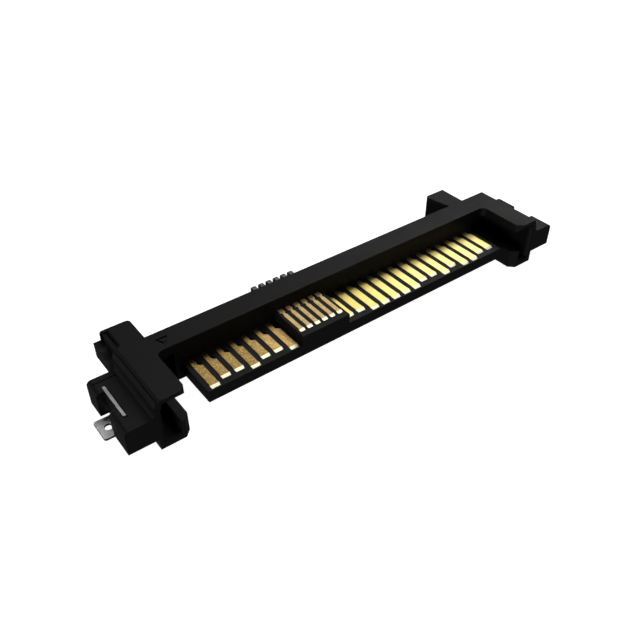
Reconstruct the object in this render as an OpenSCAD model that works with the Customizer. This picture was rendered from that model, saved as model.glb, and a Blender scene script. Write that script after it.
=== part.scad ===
// Right-angle board plug with a long contact tongue, two guide arms
// and two solder-down board locks. All sizes are in millimetres.
//
// Inside the modules X runs along the contact row from the middle of the
// first signal contact, Y runs from the tips of the long contacts back
// towards the solder tails, and Z is measured from the top of the tongue.
// placed() moves this to the part's own origin, the bottom centre.

/* [Contacts] */
// Distance between neighbouring signal or power contacts
pitch = 1.27; // [1.2:0.01:1.3]
// Distance between neighbouring sideband and lower contacts
fine_pitch = 0.8; // [0.7:0.01:0.82]
// Width of the wide contacts at their bevelled tips
tip_w = 0.84; // [0.7:0.01:0.9]
// Width of the wide contacts behind their tips
body_w = 0.76; // [0.6:0.01:0.8]
// Width of the soldered tails
tail_w = 0.5; // [0.3:0.01:0.6]
// Sheet thickness of the wide contacts
contact_t = 0.2; // [0.12:0.01:0.25]
// Sheet thickness of the fine contacts
fine_t = 0.15; // [0.1:0.01:0.18]
// How far the tips of the late-mating contacts sit behind the early ones
late = 0.48; // [0.3:0.01:0.6]
// How far a contact stands proud of the plastic it lies in
proud = 0.03; // [0.01:0.01:0.05]

/* [Tongue] */
// Thickness of the tongue
tongue_t = 1.23; // [1.1:0.01:1.3]
// Left end of the tongue
tongue_x0 = -0.82; // [-1.0:0.01:-0.6]
// Right end of the tongue
tongue_x1 = 32.57; // [32.4:0.01:32.6]
// Front face of the tongue
tongue_y0 = -0.15; // [-0.3:0.01:-0.05]
// Height of the raised step under the sideband contacts
step_h = 0.96; // [0.8:0.01:1.1]

/* [Housing] */
// Height of the top faces above the tongue
top_z = 2.25; // [2.2:0.01:2.4]
// Thickness of the top wall of the rail and of the arms
roof_t = 0.87; // [0.7:0.01:1.0]
// Front face of the rear rail
rail_y0 = 4.0; // [3.8:0.01:4.1]
// Rear face of the rear rail
rail_y1 = 6.25; // [6.1:0.01:6.4]
// Front face of the arms and ears
arm_y0 = -0.9; // [-1.0:0.01:-0.8]
// Depth of the guide blocks below the tongue
guide_z = -2.66; // [-2.8:0.01:-2.5]
// Underside of the rail and ears
seat_z = -1.53; // [-1.6:0.01:-1.5]
// Height of the top of the ears
ear_z = 0.77; // [0.7:0.01:0.9]
// How far the rear extensions reach behind the contact tips
rear_y1 = 9.1; // [8.95:0.01:9.2]

/* [Board locks] */
// Thickness of the board lock blade
blade_t = 0.24; // [0.2:0.01:0.3]
// Thickness of the soldered foot
foot_t = 0.2; // [0.15:0.01:0.2]
// Radius of the solder hole in the foot
foot_hole_r = 0.34; // [0.3:0.01:0.42]

/* [Hidden] */

board_z = -1.72;           // board plane under the feet and tails
foot_end_y = 9.3;          // rear ends of the solder tails
tail_y = 8.35;             // rear side of the vertical part of a tail
power_x0 = 11 * pitch;     // first power contact
fine_x0 = 8.795;           // first sideband contact
lower_x0 = 0.275;          // first lower contact
long_signal = [1, 4, 7];
long_power = [3, 4, 5, 6, 7, 10, 12, 13];

// side walls and outer faces of the ears; the two ends mirror each other
left_wall_x = -5.67;
right_wall_x = 36.6;
ear_out_l = -8.2;
ear_out_r = 39.13;
lock_in_l = 0.87;          // blades, measured in from the ears' outer faces
lock_in_r = 1.03;
mid_x = (ear_out_l + ear_out_r) / 2;
mid_y = (arm_y0 + foot_end_y) / 2;

function is_in(v, list) = len([for (a = list) if (a == v) 1]) > 0;
function unit(v) = v / norm(v);
// normal on the right-hand side of the direction a to b
function side(a, b) = let(d = unit(b - a)) [d[1], -d[0]];
function off_pt(p, i, t) =
  i == 0 ? p[0] + t * side(p[0], p[1]) :
  i == len(p) - 1 ? p[i] + t * side(p[i - 1], p[i]) :
  let(n1 = side(p[i - 1], p[i]), n2 = side(p[i], p[i + 1]), m = unit(n1 + n2))
    p[i] + (t / (m * n1)) * m;
// closed outline of a strip of thickness t whose upper side follows p
function ribbon(p, t) = concat(p, [for (i = [len(p) - 1:-1:0]) off_pt(p, i, t)]);

module box(a, b) { translate(a) cube(b - a); }
// prism along Y from a polygon in X and Z
module along_y(y0, y1) {
  translate([0, y1, 0]) rotate([90, 0, 0]) linear_extrude(height = y1 - y0) children();
}
// prism along X from a polygon in Y and Z
module along_x(x0, x1) {
  translate([x0, 0, 0]) rotate([90, 0, 90]) linear_extrude(height = x1 - x0) children();
}
module along_z(z0, z1) {
  translate([0, 0, z0]) linear_extrude(height = z1 - z0) children();
}
module placed() { translate([-mid_x, -mid_y, -guide_z]) children(); }

// ---------------------------------------------------------------- contacts
// upper line of a tail that turns down behind the rail and out to a foot
function tail_line(z, t, r = 0.45) =
  let(q = 0.15, zf = board_z + t)
  concat([for (a = [0:22.5:90]) [tail_y - r + r * sin(a), z - r + r * cos(a)]],
         [for (a = [0:30:90]) [tail_y + q - q * cos(a), zf + q - q * sin(a)]],
         [[foot_end_y, zf]]);

// a wide contact: bevelled tip, flat body, straight run through the rail
function wide_line(y0) = concat(
  [[y0, proud - 0.17], [y0 + 0.36, proud]], tail_line(proud, contact_t));

// the neck behind the body keeps to its left edge and starts at neck_y
module wide_contact(x, y0, neck_w, neck_y) {
  nr = x - body_w / 2 + neck_w;
  intersection() {
    along_x(x - 0.6, x + 0.6) polygon(ribbon(wide_line(y0), contact_t));
    along_z(board_z - 0.5, 0.5) polygon([
      [x - tip_w / 2, y0 - 0.2], [x + tip_w / 2, y0 - 0.2],
      [x + tip_w / 2, y0 + 0.42], [x + body_w / 2, y0 + 0.62],
      [x + body_w / 2, neck_y], [nr + 0.03, neck_y + 0.2], [nr, neck_y + 0.3],
      [nr, 5.1], [x + tail_w / 2, 5.4],
      [x + tail_w / 2, 9.6], [x - tail_w / 2, 9.6],
      [x - tail_w / 2, 5.4], [x - body_w / 2, 5.1],
      [x - body_w / 2, y0 + 0.62], [x - tip_w / 2, y0 + 0.42]]);
  }
}

// a fine contact on the raised step
function fine_line(y0) = concat(
  [[y0, step_h + proud - 0.12], [y0 + 0.3, step_h + proud]],
  tail_line(step_h + proud, fine_t, 0.25));

module fine_contact(x, y0) {
  intersection() {
    along_x(x - 0.4, x + 0.4) polygon(ribbon(fine_line(y0), fine_t));
    along_z(board_z - 0.5, 1.6) polygon([
      [x - 0.25, y0 - 0.2], [x + 0.25, y0 - 0.2],
      [x + 0.25, y0 + 0.34], [x + 0.19, y0 + 0.5],
      [x + 0.19, 3.1], [x + 0.12, 3.2], [x + 0.12, 3.45], [x + 0.25, 3.55],
      [x + 0.25, 4.4], [x + 0.2, 4.6], [x + 0.2, 9.6],
      [x - 0.2, 9.6], [x - 0.2, 4.6], [x - 0.25, 4.4],
      [x - 0.25, 3.55], [x - 0.12, 3.45], [x - 0.12, 3.2], [x - 0.19, 3.1],
      [x - 0.19, y0 + 0.5], [x - 0.25, y0 + 0.34]]);
  }
}

// a lower contact under the tongue, with a short gull-wing foot
module lower_contact(x) {
  zt = -tongue_t - proud + fine_t;
  zf = board_z + fine_t;
  along_x(x - 0.18, x + 0.18)
    polygon(ribbon([[0.5, zt + 0.1], [0.8, zt], [6.45, zt], [6.85, zf], [7.7, zf]], fine_t));
}

function signal_x(i) = (i - 1) * pitch;
function power_x(i) = power_x0 + (i - 1) * pitch;
function fine_x(i) = fine_x0 + (i - 1) * fine_pitch;
function lower_x(i) = lower_x0 + (i - 1) * fine_pitch;

module signal_contact(i) {
  color("darkkhaki")
    wide_contact(signal_x(i), is_in(i, long_signal) ? 0 : late, 0.44, 2.85);
}
module power_contact(i) {
  color("khaki")
    wide_contact(power_x(i), is_in(i, long_power) ? 0 : late, 0.56, 3.45);
}
module sideband_contact(i) {
  color("burlywood") fine_contact(fine_x(i), late);
}
module lower_group(i0, i1) {
  color("goldenrod") for (i = [i0:i1]) lower_contact(lower_x(i));
}

// ---------------------------------------------------------------- housing
function arc(cx, cy, r, a0, a1, n) =
  [for (k = [0:n]) let(a = a0 + (a1 - a0) * k / n) [cx + r * cos(a), cy + r * sin(a)]];

// line of one side wall in X and Z: rounded top edge, slightly leaning wall
// with a fine parting groove; s is 1 for the left end and -1 for the right one
function wall_line(wall_x, s) = concat(
  arc_s(wall_x + s * 0.42, top_z - 0.25, 0.25, 90, 155, 6, s),
  [[wall_x + s * 0.005, 1.69], [wall_x + s * 0.15, 1.62], [wall_x - s * 0.03, 1.55]]);
function arc_s(cx, cy, r, a0, a1, n, s) =
  [for (k = [0:n]) let(a = a0 + (a1 - a0) * k / n) [cx + s * r * cos(a), cy + r * sin(a)]];

// section of the rail at one end
module rail_section(wall_x, s) {
  polygon(concat([[wall_x + s * 1.2, seat_z], [wall_x + s * 1.2, top_z]],
    wall_line(wall_x, s), [[wall_x, 1.3], [wall_x, seat_z]]));
}
// section of one end in X and Z: roof, side wall and ear in one line
module end_section(wall_x, ear_x, s) {
  polygon(concat(
    [[wall_x + s * 1.2, seat_z], [wall_x + s * 1.2, top_z]],
    wall_line(wall_x, s),
    arc_s(wall_x - s * 0.51, ear_z + 0.45, 0.45, 0, -90, 6, s),
    arc_s(ear_x + s * 0.42, ear_z - 0.42, 0.42, 90, 180, 6, s),
    [[ear_x, seat_z]]));
}

module arms() {
  // left end
  along_y(arm_y0, 5.85) end_section(left_wall_x, ear_out_l, 1);
  along_y(rail_y0, rail_y1) rail_section(left_wall_x, 1);
  along_z(top_z - roof_t, top_z) polygon(concat([
    [left_wall_x + 0.6, arm_y0], [-3.45, arm_y0], [-2.9, arm_y0 + 0.55]],
    arc(-2.35, rail_y0 - 0.55, 0.55, 180, 90, 6),
    [[-2.35, rail_y0 + 0.4], [left_wall_x + 0.6, rail_y0 + 0.4]]));
  along_z(guide_z, -0.75) polygon([
    [left_wall_x, arm_y0], [-3.47, arm_y0], [-2.92, arm_y0 + 0.55],
    [-2.92, 4.7], [left_wall_x, 4.7]]);
  // right end
  along_y(arm_y0, 5.85) end_section(right_wall_x, ear_out_r, -1);
  along_y(rail_y0, rail_y1) rail_section(right_wall_x, -1);
  along_z(top_z - roof_t, top_z) polygon(concat([
    [right_wall_x - 0.6, arm_y0], [34.65, arm_y0], [34.08, arm_y0 + 0.55]],
    arc(33.53, rail_y0 - 0.55, 0.55, 0, 90, 6),
    [[33.53, rail_y0 + 0.4], [right_wall_x - 0.6, rail_y0 + 0.4]]));
  along_z(guide_z, -0.75) polygon([
    [right_wall_x, arm_y0], [34.48, arm_y0], [33.92, arm_y0 + 0.55],
    [33.92, 4.7], [right_wall_x, 4.7]]);
}

// guide channel: slot along the arm, open at its side, and a deeper pocket
module guide_channel(wx, lip, edge, pocket, s) {
  // wx inner side of the outer wall, lip outer side of the lip,
  // edge a point past the lip, pocket far side of the pocket
  x = function(a, b) [min(a, b), max(a, b)];
  a = x(wx, lip); b = x(wx, edge); c = x(wx, pocket);
  box([a[0], arm_y0 - 1, -2.05], [a[1], 4.2, top_z - roof_t]);
  box([b[0], arm_y0 - 1, -0.75], [b[1], rail_y0, top_z - roof_t]);
  box([c[0], rail_y0 - 0.01, -1.05], [c[1], 5.4, top_z - roof_t]);
  // lead-in under the roof and along the floor
  along_x(b[0], b[1]) polygon([[arm_y0 - 0.01, top_z - roof_t - 0.01],
    [arm_y0 + 0.5, top_z - roof_t - 0.01], [arm_y0 - 0.01, top_z - roof_t + 0.5]]);
  along_x(a[0], a[1]) polygon([[arm_y0 - 0.01, -2.04],
    [arm_y0 + 0.22, -2.04], [arm_y0 - 0.01, -2.27]]);
  // and round the front edge of the outer wall
  r = 0.45;
  along_z(-2.05, top_z - roof_t) polygon(concat(
    [[wx - s * r, arm_y0 - 0.01], [wx + s * 0.01, arm_y0 - 0.01], [wx + s * 0.01, arm_y0 + r]],
    [for (a = [0:15:90]) [wx - s * r + s * r * cos(a), arm_y0 + r - r * sin(a)]]));
}

module ear_cuts(ear_x, s, inset, y0, y1) {
  // notch in the outer side of the ear, open above and below
  nx = ear_x + s * 0.68;
  box([min(nx, ear_x - s), y0, seat_z - 1], [max(nx, ear_x - s), y1, ear_z + 1]);
  // slot that holds the board lock blade, and room for its bend below
  bx = ear_x + s * inset;
  by = bx + s * (blade_t / 2 + 0.03);
  bo = bx - s * (blade_t / 2 + 0.03);
  bi = bx + s * (blade_t / 2 + 0.07);
  box([min(bo, bi), 0.55, -1.0], [max(bo, bi), 4.55, ear_z + 1]);
  box([min(by, ear_x - s), 1.54, seat_z - 1], [max(by, ear_x - s), 3.9, -0.95]);
  // fine groove across the top near the back of the ear
  box([min(ear_x - s, ear_x + s * 2.2), 5.16, ear_z - 0.08], [max(ear_x - s, ear_x + s * 2.2), 5.26, ear_z + 1]);
}

module rear_parts() {
  // left extension
  intersection() {
    along_z(-0.1, top_z) polygon(concat(
      [[-5.24, rail_y1 - 0.3], [-2.75, rail_y1 - 0.3]],
      arc(-2.75 - 0.35, rear_y1 - 0.35, 0.35, 0, 90, 6), [[-5.24, rear_y1]]));
    along_y(rail_y1 - 1, rear_y1 + 1) polygon(concat([[-5.24, -1], [-2, -1], [-2, top_z]],
      arc(-5.24 + 0.3, top_z - 0.3, 0.3, 90, 180, 6)));
  }
  // its rear end stands out a little as a lip
  intersection() {
    along_z(-0.1, top_z) polygon(concat(
      [[-5.43, 8.8], [-4.5, 8.8], [-4.5, rear_y1]],
      arc(-5.43 + 0.2, rear_y1 - 0.2, 0.2, 90, 180, 5)));
    along_y(8, rear_y1 + 1) polygon(concat([[-5.43, -1], [-4.5, -1], [-4.5, top_z]],
      arc(-5.43 + 0.3, top_z - 0.3, 0.3, 90, 180, 6)));
  }
  // shelf beside it, which runs down in a soft curve to the top of the ear
  along_x(-6.03, -5.2) polygon(concat([[rear_y1, -0.1], [rear_y1, 1.38]],
    [for (t = [0:20:180]) [8.1 - 1.5 * t / 180, ear_z + (1.38 - ear_z) * (1 + cos(t)) / 2]],
    [[5.7, ear_z], [5.7, -0.1]]));
  // right post, a little wider at its rear end
  along_z(-0.1, top_z) polygon(concat(
    [[31.5, rail_y1 - 0.3], [33.3, rail_y1 - 0.3], [33.3, rear_y1]],
    arc(30.88 + 0.3, rear_y1 - 0.3, 0.3, 90, 180, 6)));
}

// wedge of air over the bevel of a contact tip
module tip_room(x, y0, z, w, drop, l) {
  along_x(x - w / 2, x + w / 2) polygon([[y0, z + proud - drop],
    [y0 + l, z + proud], [y0 + l, z + 0.2], [y0, z + 0.2]]);
}

module housing() {
  color("dimgray") difference() {
    union() {
      box([left_wall_x + 1, rail_y0, seat_z], [right_wall_x - 1, rail_y1, top_z]);
      // tongue with a chamfered lower front edge
      along_x(tongue_x0, tongue_x1) polygon([[tongue_y0, -tongue_t + 0.12],
        [tongue_y0 + 0.12, -tongue_t], [rail_y0 + 0.5, -tongue_t], [rail_y0 + 0.5, 0], [tongue_y0, 0]]);
      box([8.32, tongue_y0, -0.5], [13.27, rail_y0 + 0.5, step_h]);
      arms();
      rear_parts();
    }
    guide_channel(-5.05, -3.72, -2.0, -1.45, 1);
    guide_channel(36.1, 34.72, 33.0, 32.62, -1);
    ear_cuts(ear_out_l, 1, lock_in_l, 1.7, 4.02);
    ear_cuts(ear_out_r, -1, lock_in_r, 1.38, 3.88);
    // fine grooves along the rounded upper edge of the left end
    along_y(arm_y0 - 1, rail_y1 + 0.1) polygon([[-5.08, top_z + 0.1], [-5.08, top_z],
      [-5.14, top_z - 0.02], [-5.2, top_z - 0.065], [-5.26, top_z - 0.135], [-5.32, top_z - 0.215],
      [-5.38, top_z - 0.25], [-5.43, top_z - 0.24], [-5.47, top_z - 0.19], [-5.5, top_z - 0.08],
      [-5.5, top_z + 0.1]]);
    along_y(rail_y1 + 0.2, 8.8) polygon([[-4.66, top_z + 0.1], [-4.66, top_z],
      [-4.72, top_z - 0.02], [-4.78, top_z - 0.06], [-4.85, top_z - 0.12], [-4.92, top_z - 0.19],
      [-4.98, top_z - 0.22], [-5.03, top_z - 0.21], [-5.07, top_z - 0.16], [-5.1, top_z - 0.05],
      [-5.1, top_z + 0.1]]);
    // openings in the rail above the contacts
    for (i = [1:7]) box([signal_x(i) - body_w / 2 - 0.02, rail_y0 - 0.5, -0.1], [signal_x(i) + 0.08, rail_y0 + 0.5, 0.4]);
    for (i = [1:15]) box([power_x(i) - body_w / 2 - 0.02, rail_y0 - 0.5, -0.1], [power_x(i) + 0.2, rail_y0 + 0.5, 0.4]);
    for (i = [1:7]) wide_contact(signal_x(i), is_in(i, long_signal) ? 0 : late, 0.44, 3.2);
    for (i = [1:15]) wide_contact(power_x(i), is_in(i, long_power) ? 0 : late, 0.56, 3.45);
    for (i = [1:6]) fine_contact(fine_x(i), late);
    for (i = [1:40]) lower_contact(lower_x(i));
    // room above the bevelled tips
    for (i = [1:7]) tip_room(signal_x(i), is_in(i, long_signal) ? 0 : late, 0, tip_w, 0.17, 0.36);
    for (i = [1:15]) tip_room(power_x(i), is_in(i, long_power) ? 0 : late, 0, tip_w, 0.17, 0.36);
    for (i = [1:6]) tip_room(fine_x(i), late, step_h, 0.5, 0.12, 0.3);
    // plain first-contact mark
    translate([-1.75, 5.1, top_z - 0.12]) rotate([0, 0, -90]) difference() {
      cylinder(r = 0.66, h = 1, $fn = 3);
      cylinder(r = 0.34, h = 1, $fn = 3);
    }
  }
}

// ---------------------------------------------------------------- board locks
module hold_down(ear_x, s, inset) {
  bx = ear_x + s * inset;     // middle of the blade
  bo = bx - s * blade_t / 2;  // outer side of the blade
  bi = bx + s * blade_t / 2;  // inner side of the blade
  tip = ear_x - s * 0.78;     // outer end of the foot
  color("silver") difference() {
    union() {
      box([bx - blade_t / 2, 0.72, -0.97], [bx + blade_t / 2, 4.52, ear_z + (s > 0 ? 0.04 : 0)]);
      along_y(1.58, 3.77) polygon(concat([[bi, -0.9], [bo, -0.9]],
        arc_s(bo - s * 0.3, board_z + foot_t + 0.3, 0.3, 0, -90, 6, s),
        [[tip, board_z + foot_t], [tip, board_z]],
        arc_s(bo - s * 0.3, board_z + foot_t + 0.3, foot_t + 0.3, -90, 0, 8, s),
        [[bi, board_z + 0.6]]));
    }
    translate([ear_x + s * 0.02, 2.66, board_z - 1]) cylinder(r = foot_hole_r, h = 2, $fn = 48);
    for (m = [0, 1]) translate([tip, m == 0 ? 1.58 : 3.77, 0]) rotate([0, 0, 45])
      box([-0.1, -0.1, board_z - 1], [0.1, 0.1, board_z + 1]);
  }
}
module hold_down_left() { hold_down(ear_out_l, 1, lock_in_l); }
module hold_down_right() { hold_down(ear_out_r, -1, lock_in_r); }

placed() housing();
placed() hold_down_left();
placed() hold_down_right();
placed() signal_contact(1);  // signal_contact_1
placed() signal_contact(2);  // signal_contact_2
placed() signal_contact(3);  // signal_contact_3
placed() signal_contact(4);  // signal_contact_4
placed() signal_contact(5);  // signal_contact_5
placed() signal_contact(6);  // signal_contact_6
placed() signal_contact(7);  // signal_contact_7
placed() sideband_contact(1);  // sideband_contact_1
placed() sideband_contact(2);  // sideband_contact_2
placed() sideband_contact(3);  // sideband_contact_3
placed() sideband_contact(4);  // sideband_contact_4
placed() sideband_contact(5);  // sideband_contact_5
placed() sideband_contact(6);  // sideband_contact_6
placed() power_contact(1);  // power_contact_1
placed() power_contact(2);  // power_contact_2
placed() power_contact(3);  // power_contact_3
placed() power_contact(4);  // power_contact_4
placed() power_contact(5);  // power_contact_5
placed() power_contact(6);  // power_contact_6
placed() power_contact(7);  // power_contact_7
placed() power_contact(8);  // power_contact_8
placed() power_contact(9);  // power_contact_9
placed() power_contact(10);  // power_contact_10
placed() power_contact(11);  // power_contact_11
placed() power_contact(12);  // power_contact_12
placed() power_contact(13);  // power_contact_13
placed() power_contact(14);  // power_contact_14
placed() power_contact(15);  // power_contact_15
placed() lower_group(1, 10);  // lane_contacts_left
placed() lower_group(11, 17);  // lower_signal_contacts
placed() lower_group(18, 31);  // lane_contacts_middle
placed() lower_group(32, 40);  // lane_contacts_right
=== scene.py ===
import bpy
import math
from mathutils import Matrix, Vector

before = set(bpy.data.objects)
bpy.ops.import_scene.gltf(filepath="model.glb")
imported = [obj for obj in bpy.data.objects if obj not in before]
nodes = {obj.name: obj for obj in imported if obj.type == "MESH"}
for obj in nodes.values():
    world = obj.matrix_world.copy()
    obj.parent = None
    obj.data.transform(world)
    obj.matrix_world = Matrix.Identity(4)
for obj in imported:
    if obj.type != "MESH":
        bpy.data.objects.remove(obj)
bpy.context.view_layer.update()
scene = bpy.context.scene
MM = 0.001


# ------------------------------------------------------------------ camera
cam_data = bpy.data.cameras.new("camera")
cam_data.sensor_width = 36.0
cam_data.lens = 40.61
cam_data.clip_start = 0.002
cam_data.clip_end = 5.0
cam = bpy.data.objects.new("camera", cam_data)
cam.location = (-33.540 * MM, -41.452 * MM, 42.432 * MM)
cam.rotation_euler = (math.radians(90 - 39.129), 0.0, math.radians(-37.151))
scene.collection.objects.link(cam)
scene.camera = cam

scene.view_settings.view_transform = "Standard"
scene.view_settings.look = "None"
scene.view_settings.exposure = 0.0
scene.view_settings.gamma = 1.0


# --------------------------------------------------------------- materials
class Tree:
    """Small helper that adds and links shader nodes."""

    def __init__(self, name):
        self.mat = bpy.data.materials.new(name)
        self.mat.use_nodes = True
        self.t = self.mat.node_tree
        self.t.nodes.clear()
        self.out = self.t.nodes.new("ShaderNodeOutputMaterial")
        self.bsdf = self.t.nodes.new("ShaderNodeBsdfPrincipled")
        self.t.links.new(self.bsdf.outputs[0], self.out.inputs[0])
        self.coord = self.t.nodes.new("ShaderNodeTexCoord").outputs["Object"]

    def node(self, kind, **props):
        n = self.t.nodes.new(kind)
        for k, v in props.items():
            setattr(n, k, v)
        return n

    def link(self, a, b):
        self.t.links.new(a, b)

    def set(self, name, value):
        self.bsdf.inputs[name].default_value = value

    def scaled(self, vector):
        m = self.node("ShaderNodeMapping")
        m.inputs["Scale"].default_value = vector
        self.link(self.coord, m.inputs["Vector"])
        return m.outputs[0]

    def noise(self, scale, detail=2.0, rough=0.5, stretch=None, distortion=0.0):
        """Noise whose features are about 1/scale metres across."""
        n = self.node("ShaderNodeTexNoise")
        n.inputs["Scale"].default_value = scale
        n.inputs["Detail"].default_value = detail
        n.inputs["Roughness"].default_value = rough
        n.inputs["Distortion"].default_value = distortion
        self.link(self.scaled(stretch) if stretch else self.coord, n.inputs["Vector"])
        return n.outputs["Fac"]

    def ramp(self, fac, stops):
        r = self.node("ShaderNodeValToRGB")
        e = r.color_ramp.elements
        while len(e) < len(stops):
            e.new(0.5)
        for i, (pos, col) in enumerate(stops):
            e[i].position = pos
            e[i].color = (*col, 1.0) if len(col) == 3 else col
        self.link(fac, r.inputs["Fac"])
        return r.outputs["Color"]

    def span(self, fac, lo, hi, a=0.0, b=1.0):
        m = self.node("ShaderNodeMapRange")
        m.inputs["From Min"].default_value = a
        m.inputs["From Max"].default_value = b
        m.inputs["To Min"].default_value = lo
        m.inputs["To Max"].default_value = hi
        self.link(fac, m.inputs["Value"])
        return m.outputs["Result"]

    def math(self, op, a, b=None):
        m = self.node("ShaderNodeMath", operation=op)
        for i, v in enumerate((a, b)):
            if v is None:
                continue
            if isinstance(v, (int, float)):
                m.inputs[i].default_value = v
            else:
                self.link(v, m.inputs[i])
        return m.outputs[0]

    def mix(self, fac, a, b):
        m = self.node("ShaderNodeMix", data_type="RGBA")
        self.link(fac, m.inputs["Factor"])
        for name, v in (("A", a), ("B", b)):
            s = [i for i in m.inputs if i.name == name and i.type == "RGBA"][0]
            if isinstance(v, tuple):
                s.default_value = (*v, 1.0)
            else:
                self.link(v, s)
        return [o for o in m.outputs if o.type == "RGBA"][0]

    def normal_z(self):
        g = self.node("ShaderNodeNewGeometry")
        s = self.node("ShaderNodeSeparateXYZ")
        self.link(g.outputs["True Normal"], s.inputs[0])
        return s.outputs

    def edges(self, radius, lo=0.02, hi=0.25):
        """1 on the edges of the shape, 0 on its faces."""
        b = self.node("ShaderNodeBevel", samples=6)
        b.inputs["Radius"].default_value = radius
        g = self.node("ShaderNodeNewGeometry")
        d = self.node("ShaderNodeVectorMath", operation="DOT_PRODUCT")
        self.link(b.outputs[0], d.inputs[0])
        self.link(g.outputs["Normal"], d.inputs[1])
        away = self.math("SUBTRACT", 1.0, d.outputs["Value"])
        return self.span(away, 0.0, 1.0, lo, hi)

    def bump(self, layers, base=None):
        """layers: (height, strength, distance) from the broadest to the finest."""
        last = base
        for h, strength, distance in layers:
            b = self.node("ShaderNodeBump")
            b.inputs["Strength"].default_value = strength
            b.inputs["Distance"].default_value = distance
            self.link(h, b.inputs["Height"])
            if last is not None:
                self.link(last, b.inputs["Normal"])
            last = b.outputs[0]
        self.link(last, self.bsdf.inputs["Normal"])


def black_plastic():
    m = Tree("black_moulding")
    grain = m.noise(9000.0, 3.0, 0.6)
    cloud = m.noise(260.0, 3.0, 0.55)
    flow = m.noise(420.0, 2.0, 0.5, stretch=(0.35, 1.0, 1.0))
    tone = m.ramp(m.math("ADD", m.math("MULTIPLY", grain, 0.55), m.math("MULTIPLY", cloud, 0.45)),
                  [(0.35, (0.0027, 0.0027, 0.0027)), (0.65, (0.0045, 0.0045, 0.0045))])
    worn = m.mix(m.math("MULTIPLY", m.edges(0.05 * MM), 0.35), tone, (0.009, 0.009, 0.009))
    r = m.math("ADD", m.span(cloud, 0.55, 0.63, 0.3, 0.7), m.span(grain, -0.04, 0.05, 0.3, 0.7))
    # painted shade: the rail's front wall over the contacts is painted darker than the rest; it is also smoother
    place = m.node("ShaderNodeSeparateXYZ")
    m.link(m.coord, place.inputs[0])
    wall = m.math("MULTIPLY", m.span(m.normal_z()["Y"], 1.0, 0.0, -0.98, -0.90),
                  m.span(place.outputs["Y"], 0.0, 1.0, -0.40 * MM, -0.30 * MM))
    m.link(m.mix(wall, worn, (0.0008, 0.0008, 0.0008)), m.bsdf.inputs["Base Color"])
    m.link(m.math("SUBTRACT", r, m.math("MULTIPLY", wall, 0.12)), m.bsdf.inputs["Roughness"])
    m.set("Specular IOR Level", 0.215)
    b = m.node("ShaderNodeBevel", samples=6)
    b.inputs["Radius"].default_value = 0.035 * MM
    m.bump([(flow, 0.25, 0.010 * MM), (grain, 0.55, 0.0035 * MM)], b.outputs[0])
    return m.mat


def gold(name, low, high, rough, grain_bump, mottling, tip_rough=0.3, grain=14000.0, root_painted_shade_amount=0.8, painted_light_drift=(0.0, 0.0, 0.0, 1.0)):
    """Gold plating in front of the rail, tin plating on the tails behind it, painted darker than tin as painted
    shade;
    the last argument shifts the tone from one value to another between two places along the row, a painted gradient
    of light and shade."""
    m = Tree(name)
    speck = m.noise(grain, 2.0, 0.7)
    patch = m.noise(3200.0, 3.0, 0.6)
    brush = m.noise(5200.0, 2.0, 0.6, stretch=(1.0, 0.12, 1.0))
    both = m.math("ADD", m.math("MULTIPLY", speck, mottling), m.math("MULTIPLY", patch, 1.0 - mottling))
    place = m.node("ShaderNodeSeparateXYZ")
    m.link(m.coord, place.inputs[0])
    # painted light and shade: the tone is shifted lighter or darker along the row by the last argument
    plating_with_painted_light = m.math("ADD", both, m.span(place.outputs["X"], painted_light_drift[0], painted_light_drift[1], painted_light_drift[2] * MM, painted_light_drift[3] * MM))
    axes = m.normal_z()
    # the coined bevel at the tip is smoother than the plated body, and is painted paler as a painted highlight
    tip_smooth_painted_highlight = m.span(axes["Y"], 1.0, 0.0, -0.40, -0.25)
    tone = m.mix(tip_smooth_painted_highlight, m.ramp(plating_with_painted_light, [(0.33, low), (0.67, high)]), m.ramp(both, [(0.3, (0.96, 0.88, 0.60)), (0.7, (1.0, 0.97, 0.74))]))
    tail = m.span(place.outputs["Y"], 0.0, 1.0, 1.4 * MM, 1.6 * MM)
    # the tails are tin, painted dark grey as painted shade
    tone = m.mix(tail, tone, m.ramp(both, [(0.33, (0.16, 0.16, 0.155)), (0.67, (0.27, 0.27, 0.26))]))
    # painted shade: the plating is painted darker where the neck runs into the rail
    root_painted_shade = m.math("SUBTRACT", m.span(place.outputs["Y"], 0.0, 1.0, -0.85 * MM, -0.45 * MM), tail)
    tone = m.mix(m.math("MULTIPLY", root_painted_shade, root_painted_shade_amount), tone, (0.05, 0.04, 0.02))
    m.link(tone, m.bsdf.inputs["Base Color"])
    m.set("Metallic", 1.0)
    r = m.math("ADD", m.span(both, rough - 0.06, rough + 0.06, 0.3, 0.7), m.span(brush, -0.03, 0.03, 0.3, 0.7))
    r = m.math("SUBTRACT", r, m.math("MULTIPLY", tip_smooth_painted_highlight, rough - tip_rough))
    r = m.math("SUBTRACT", r, m.math("MULTIPLY", tail, 0.2))
    m.link(r, m.bsdf.inputs["Roughness"])
    b = m.node("ShaderNodeBevel", samples=6)
    b.inputs["Radius"].default_value = 0.012 * MM
    m.bump([(brush, 0.3, 0.003 * MM), (speck, grain_bump, 0.0025 * MM)], b.outputs[0])
    return m.mat


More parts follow.
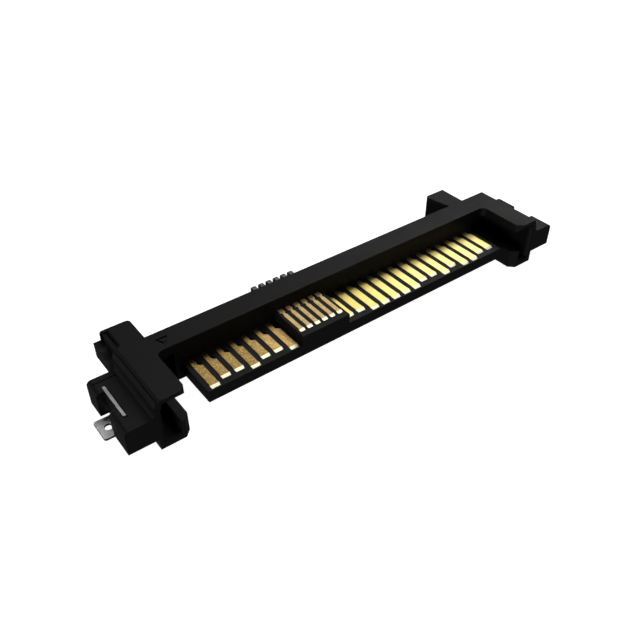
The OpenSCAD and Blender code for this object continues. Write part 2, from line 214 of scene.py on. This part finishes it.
def tin():
    m = Tree("matte_tin")
    speck = m.noise(12000.0, 3.0, 0.6)
    patch = m.noise(1500.0, 3.0, 0.6)
    tone = m.ramp(m.math("ADD", m.math("MULTIPLY", speck, 0.5), m.math("MULTIPLY", patch, 0.5)),
                  [(0.33, (0.74, 0.74, 0.73)), (0.67, (0.92, 0.92, 0.91))])
    edge = m.mix(m.math("MULTIPLY", m.edges(0.03 * MM), 0.4), tone, (0.82, 0.82, 0.81))
    # painted shade: the blade's sheared top edge is painted darker than the plated faces
    place = m.node("ShaderNodeSeparateXYZ")
    m.link(m.coord, place.inputs[0])
    blade_top_painted_shade = m.span(place.outputs["Z"], 0.0, 1.0, 3.30 * MM, 3.38 * MM)
    streak = m.noise(6000.0, 2.0, 0.6, stretch=(1.0, 0.10, 1.0))
    edge = m.mix(blade_top_painted_shade, edge, m.ramp(streak, [(0.35, (0.40, 0.40, 0.40)), (0.65, (0.62, 0.62, 0.61))]))
    # painted shade: the sheared sides of the foot are painted near-black as well
    upright = m.span(m.math("ABSOLUTE", m.normal_z()["Z"]), 1.0, 0.0, 0.2, 0.4)
    low = m.span(place.outputs["Z"], 1.0, 0.0, 1.45 * MM, 1.55 * MM)
    edge = m.mix(m.math("MULTIPLY", upright, low), edge, m.ramp(streak, [(0.35, (0.07, 0.07, 0.07)), (0.65, (0.13, 0.13, 0.13))]))
    m.link(edge, m.bsdf.inputs["Base Color"])
    m.set("Metallic", 1.0)
    m.link(m.span(patch, 0.42, 0.56, 0.3, 0.7), m.bsdf.inputs["Roughness"])
    b = m.node("ShaderNodeBevel", samples=6)
    b.inputs["Radius"].default_value = 0.03 * MM
    m.bump([(patch, 0.2, 0.006 * MM), (speck, 0.4, 0.002 * MM)], b.outputs[0])
    return m.mat


plastic = black_plastic()
# the last tuple of signal_gold and power_gold paints a gradient of light and shade along the row
signal_gold = gold("signal_gold", (0.24, 0.155, 0.04), (0.96, 0.69, 0.29), 0.60, 1.0, 0.75, 0.42, 10500.0, 0.85, (-0.055, 0.085, -11.2, -7.8))
sideband_gold = gold("sideband_gold", (0.44, 0.325, 0.135), (0.84, 0.64, 0.315), 0.60, 0.7, 0.6, 0.42, 10500.0, 0.15)
power_gold = gold("power_gold", (0.93, 0.74, 0.24), (1.0, 0.86, 0.37), 0.50, 0.4, 0.45, 0.42, 14000.0, 0.65, (-0.2, 0.0, -1.0, 6.0))
lower_gold = gold("lower_gold", (0.80, 0.58, 0.24), (0.93, 0.72, 0.36), 0.42, 0.5, 0.5)
tin_plate = tin()


def look(name):
    if name == "housing":
        return plastic
    if name.startswith("hold_down"):
        return tin_plate
    if name.startswith("signal_contact"):
        return signal_gold
    if name.startswith("sideband_contact"):
        return sideband_gold
    if name.startswith("power_contact"):
        return power_gold
    return lower_gold


for name, obj in nodes.items():
    mat = look(name)
    for s in obj.material_slots:
        s.material = mat
    if not obj.material_slots:
        obj.data.materials.append(mat)


# ------------------------------------------------------------------- stage
def floor():
    size = 1.2
    mesh = bpy.data.meshes.new("floor")
    mesh.from_pydata([(-size, -size, 0), (size, -size, 0), (size, size, 0), (-size, size, 0)], [], [(0, 1, 2, 3)])
    obj = bpy.data.objects.new("floor", mesh)
    obj.location.z = -0.02 * MM
    scene.collection.objects.link(obj)
    mat = bpy.data.materials.new("white_floor")
    mat.use_nodes = True
    t = mat.node_tree
    t.nodes.clear()
    out = t.nodes.new("ShaderNodeOutputMaterial")
    add = t.nodes.new("ShaderNodeAddShader")
    glow = t.nodes.new("ShaderNodeEmission")
    glow.inputs["Color"].default_value = (1.0, 1.0, 1.0, 1.0)
    glow.inputs["Strength"].default_value = 0.98
    matte = t.nodes.new("ShaderNodeBsdfDiffuse")
    matte.inputs["Color"].default_value = (0.40, 0.40, 0.40, 1.0)
    t.links.new(glow.outputs[0], add.inputs[0])
    t.links.new(matte.outputs[0], add.inputs[1])
    t.links.new(add.outputs[0], out.inputs[0])
    mesh.materials.append(mat)
    obj.visible_diffuse = False
    obj.visible_glossy = False
    # pale backdrop round it for the low views
    ring = [(size * math.cos(math.radians(a)), size * math.sin(math.radians(a))) for a in range(0, 360, 10)]
    n = len(ring)
    wall = bpy.data.meshes.new("backdrop")
    wall.from_pydata([(x, y, -0.03 * MM) for x, y in ring] + [(x, y, 1.6) for x, y in ring], [],
                     [(i, i + n, (i + 1) % n + n, (i + 1) % n) for i in range(n)])
    back = bpy.data.objects.new("backdrop", wall)
    scene.collection.objects.link(back)
    wall.materials.append(mat)
    back.visible_diffuse = False
    back.visible_glossy = False
    back.visible_shadow = False


floor()


def softbox(name, direction, distance, width, height, radiance):
    """An area light that shines at the object from a direction; radiance 1 looks white."""
    d = Vector(direction).normalized()
    data = bpy.data.lights.new(name, "AREA")
    data.shape = "RECTANGLE"
    data.size, data.size_y = width, height
    data.energy = radiance * math.pi * width * height
    obj = bpy.data.objects.new(name, data)
    obj.location = d * distance
    obj.rotation_mode = "QUATERNION"
    obj.rotation_quaternion = d.to_track_quat("Z", "Y")
    scene.collection.objects.link(obj)
    return obj


softbox("overhead", (0.10, 0.34, 0.93), 0.36, 0.20, 0.11, 2.5)
softbox("right_high", (0.56, 0.28, 0.78), 0.36, 0.12, 0.22, 6.8)
softbox("back_right", (0.75, 0.50, 0.45), 0.36, 0.20, 0.18, 0.1)
softbox("tips", (0.45, -0.08, 0.89), 0.36, 0.12, 0.26, 1.1)
softbox("front_low", (0.15, -0.97, 0.12), 0.36, 0.30, 0.10, 1.1)
softbox("left_low", (-0.85, -0.52, 0.09), 0.36, 0.14, 0.06, 18.0)
softbox("back_left", (-0.86, 0.50, 0.075), 0.36, 0.24, 0.05, 3.0)

world = bpy.data.worlds.new("studio")
scene.world = world
world.use_nodes = True
# a pale room below the table's height, a darker one above it
wt = world.node_tree
direction = wt.nodes.new("ShaderNodeTexCoord")
axes = wt.nodes.new("ShaderNodeSeparateXYZ")
height = wt.nodes.new("ShaderNodeMapRange")
height.inputs["From Min"].default_value = -0.15
height.inputs["From Max"].default_value = 0.10
height.inputs["To Min"].default_value = 1.0
height.inputs["To Max"].default_value = 0.2
wt.links.new(direction.outputs["Generated"], axes.inputs[0])
wt.links.new(axes.outputs["Z"], height.inputs["Value"])
wt.links.new(height.outputs["Result"], wt.nodes["Background"].inputs["Color"])
wt.nodes["Background"].inputs["Strength"].default_value = 0.107
